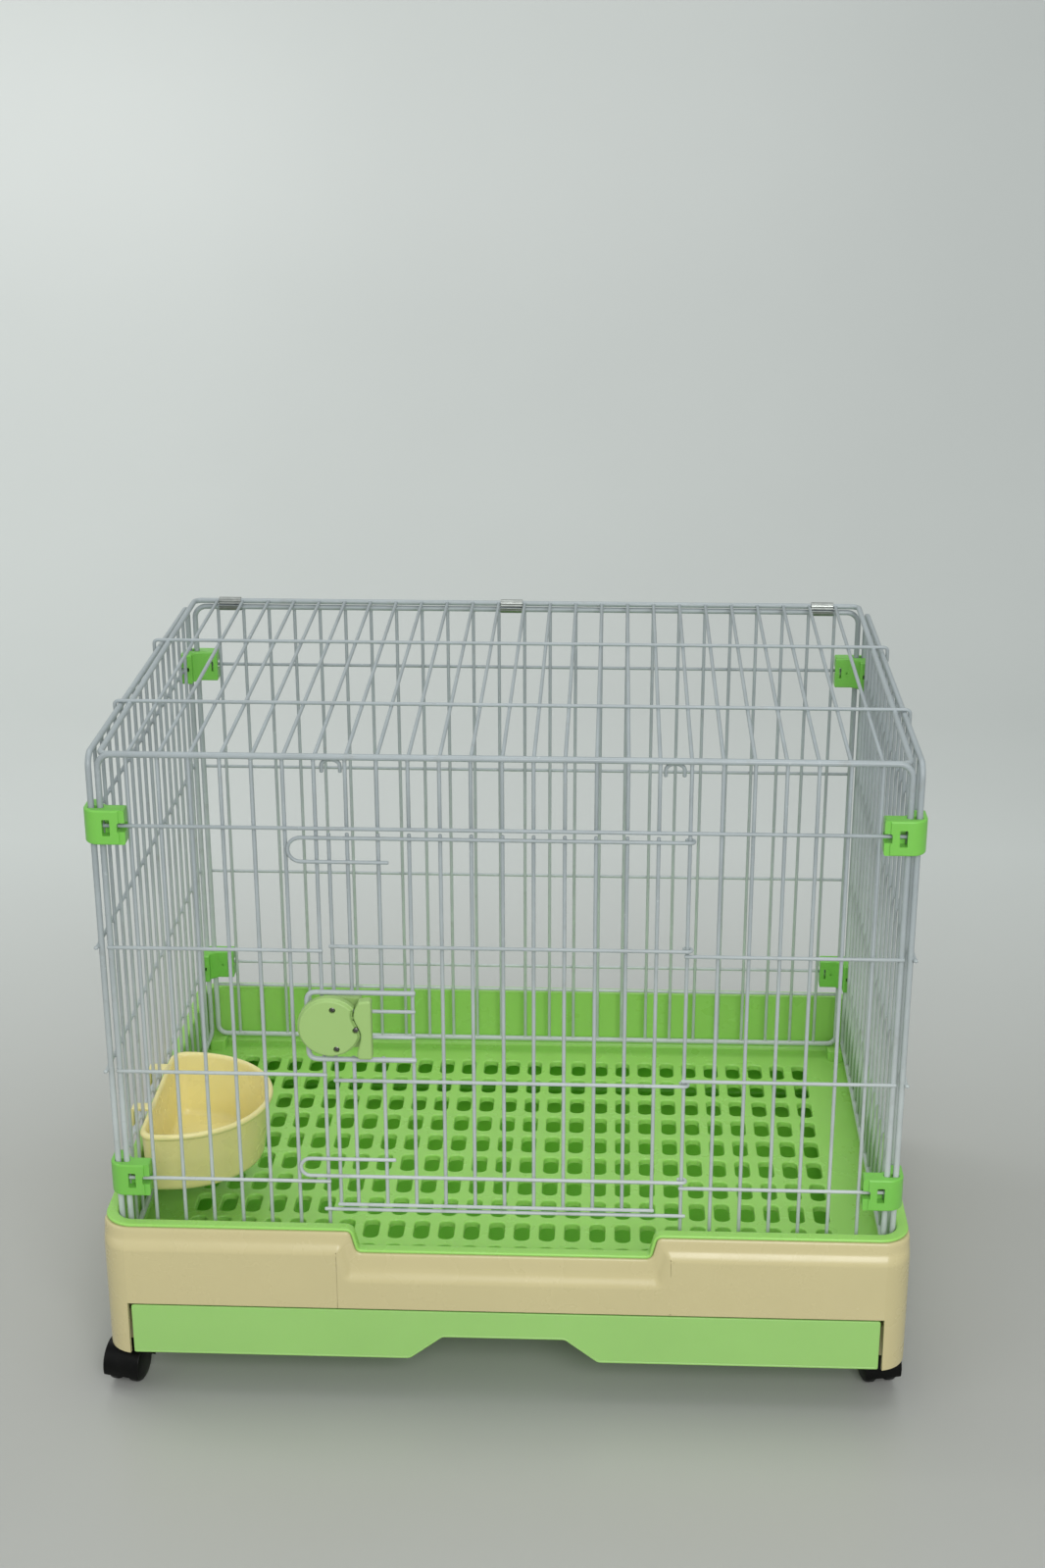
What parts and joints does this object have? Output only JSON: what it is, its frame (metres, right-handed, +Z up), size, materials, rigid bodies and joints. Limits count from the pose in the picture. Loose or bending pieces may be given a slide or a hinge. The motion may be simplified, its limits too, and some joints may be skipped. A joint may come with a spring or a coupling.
{
  "type": "wire rabbit cage",
  "caption": "Wire cage for a small animal on a moulded base with a slotted floor, pull-out drawer, hinged lid, front door with a sliding latch, hook-on food bowl and twin-wheel casters.",
  "frame": {"origin": "on the ground under the middle of the base", "axes": "+X along the length to the right seen from the front, +Y to the back, +Z up; the door and drawer face -Y"},
  "size_m": [0.618, 0.426, 0.5209],
  "materials": {
    "cream": "glossy beige moulded plastic",
    "green": "glossy bright green moulded plastic",
    "drawer_green": "satin green moulded plastic",
    "pale_green": "satin pale green moulded plastic",
    "bowl": "glossy pale yellow moulded plastic",
    "wire": "pale grey powder-coated steel wire",
    "steel": "plain bright steel",
    "black": "black moulded plastic"
  },
  "bodies": {
    "cage": {"base_frame": "cream", "floor_tray": "green", "front_panel": "wire", "back_panel": "wire", "left_panel": "wire", "right_panel": "wire", "lid_clip_left": "steel", "lid_clip_middle": "steel", "lid_clip_right": "steel", "corner_clip_front_left_upper": "green", "corner_clip_front_left_lower": "green", "corner_clip_front_right_upper": "green", "corner_clip_front_right_lower": "green", "corner_clip_rear_left_upper": "green", "corner_clip_rear_left_lower": "green", "corner_clip_rear_right_upper": "green", "corner_clip_rear_right_lower": "green"},
    "lid": {"lid": "wire"},
    "door": {"door": "wire", "latch_front_cover": "pale_green", "latch_back_cover": "pale_green", "latch_screw_1": "steel", "latch_screw_2": "steel", "latch_screw_3": "steel", "latch_spring": "steel"},
    "slider": {"latch_slider": "pale_green"},
    "drawer": {"drawer": "drawer_green"},
    "bowl": {"food_bowl": "bowl"},
    "caster_front_left": {"caster_hood_front_left": "black", "caster_axle_front_left": "steel"},
    "wheel_front_left_a": {"caster_wheel_front_left_a": "black"},
    "wheel_front_left_b": {"caster_wheel_front_left_b": "black"},
    "caster_front_right": {"caster_hood_front_right": "black", "caster_axle_front_right": "steel"},
    "wheel_front_right_a": {"caster_wheel_front_right_a": "black"},
    "wheel_front_right_b": {"caster_wheel_front_right_b": "black"},
    "caster_rear_left": {"caster_hood_rear_left": "black", "caster_axle_rear_left": "steel"},
    "wheel_rear_left_a": {"caster_wheel_rear_left_a": "black"},
    "wheel_rear_left_b": {"caster_wheel_rear_left_b": "black"},
    "caster_rear_right": {"caster_hood_rear_right": "black", "caster_axle_rear_right": "steel"},
    "wheel_rear_right_a": {"caster_wheel_rear_right_a": "black"},
    "wheel_rear_right_b": {"caster_wheel_rear_right_b": "black"}
  },
  "joints": [
    {"name": "lid_hinge", "type": "hinge", "parent": "cage", "child": "lid", "pos_m": [0, 0.1865, 0.5172], "axis": [-1, 0, 0], "range_deg": [0, 200]},
    {"name": "door_hinge", "type": "hinge", "parent": "cage", "child": "door", "pos_m": [0.1314, -0.1865, 0.3], "axis": [0, 0, 1], "range_deg": [0, 160]},
    {"name": "latch_slide", "type": "slide", "parent": "door", "child": "slider", "axis": [1, 0, 0], "range_m": [0, 0.01], "stiffness_N_per_m": 200, "springref_m": -0.004, "deforming": ["latch_spring"]},
    {"name": "drawer_slide", "type": "slide", "parent": "cage", "child": "drawer", "axis": [0, -1, 0], "range_m": [0, 0.38]},
    {"name": "bowl_lift", "type": "slide", "parent": "cage", "child": "bowl", "axis": [0, 0, 1], "range_m": [0, 0.012]},
    {"name": "swivel_front_left", "type": "hinge", "parent": "cage", "child": "caster_front_left", "pos_m": [-0.289, -0.181, 0.03], "axis": [0, 0, 1], "continuous": true},
    {"name": "wheel_spin_front_left_a", "type": "hinge", "parent": "caster_front_left", "child": "wheel_front_left_a", "pos_m": [-0.29129, -0.19176, 0.016], "axis": [0.9781, -0.2079, 0], "continuous": true},
    {"name": "wheel_spin_front_left_b", "type": "hinge", "parent": "caster_front_left", "child": "wheel_front_left_b", "pos_m": [-0.29129, -0.19176, 0.016], "axis": [0.9781, -0.2079, 0], "continuous": true},
    {"name": "swivel_front_right", "type": "hinge", "parent": "cage", "child": "caster_front_right", "pos_m": [0.289, -0.181, 0.03], "axis": [0, 0, 1], "continuous": true},
    {"name": "wheel_spin_front_right_a", "type": "hinge", "parent": "caster_front_right", "child": "wheel_front_right_a", "pos_m": [0.28671, -0.17024, 0.016], "axis": [-0.9781, -0.2079, 0], "continuous": true},
    {"name": "wheel_spin_front_right_b", "type": "hinge", "parent": "caster_front_right", "child": "wheel_front_right_b", "pos_m": [0.28671, -0.17024, 0.016], "axis": [-0.9781, -0.2079, 0], "continuous": true},
    {"name": "swivel_rear_left", "type": "hinge", "parent": "cage", "child": "caster_rear_left", "pos_m": [-0.289, 0.181, 0.03], "axis": [0, 0, 1], "continuous": true},
    {"name": "wheel_spin_rear_left_a", "type": "hinge", "parent": "caster_rear_left", "child": "wheel_rear_left_a", "pos_m": [-0.28671, 0.17024, 0.016], "axis": [0.9781, 0.2079, 0], "continuous": true},
    {"name": "wheel_spin_rear_left_b", "type": "hinge", "parent": "caster_rear_left", "child": "wheel_rear_left_b", "pos_m": [-0.28671, 0.17024, 0.016], "axis": [0.9781, 0.2079, 0], "continuous": true},
    {"name": "swivel_rear_right", "type": "hinge", "parent": "cage", "child": "caster_rear_right", "pos_m": [0.289, 0.181, 0.03], "axis": [0, 0, 1], "continuous": true},
    {"name": "wheel_spin_rear_right_a", "type": "hinge", "parent": "caster_rear_right", "child": "wheel_rear_right_a", "pos_m": [0.29129, 0.19176, 0.016], "axis": [-0.9781, 0.2079, 0], "continuous": true},
    {"name": "wheel_spin_rear_right_b", "type": "hinge", "parent": "caster_rear_right", "child": "wheel_rear_right_b", "pos_m": [0.29129, 0.19176, 0.016], "axis": [-0.9781, 0.2079, 0], "continuous": true}
  ]
}
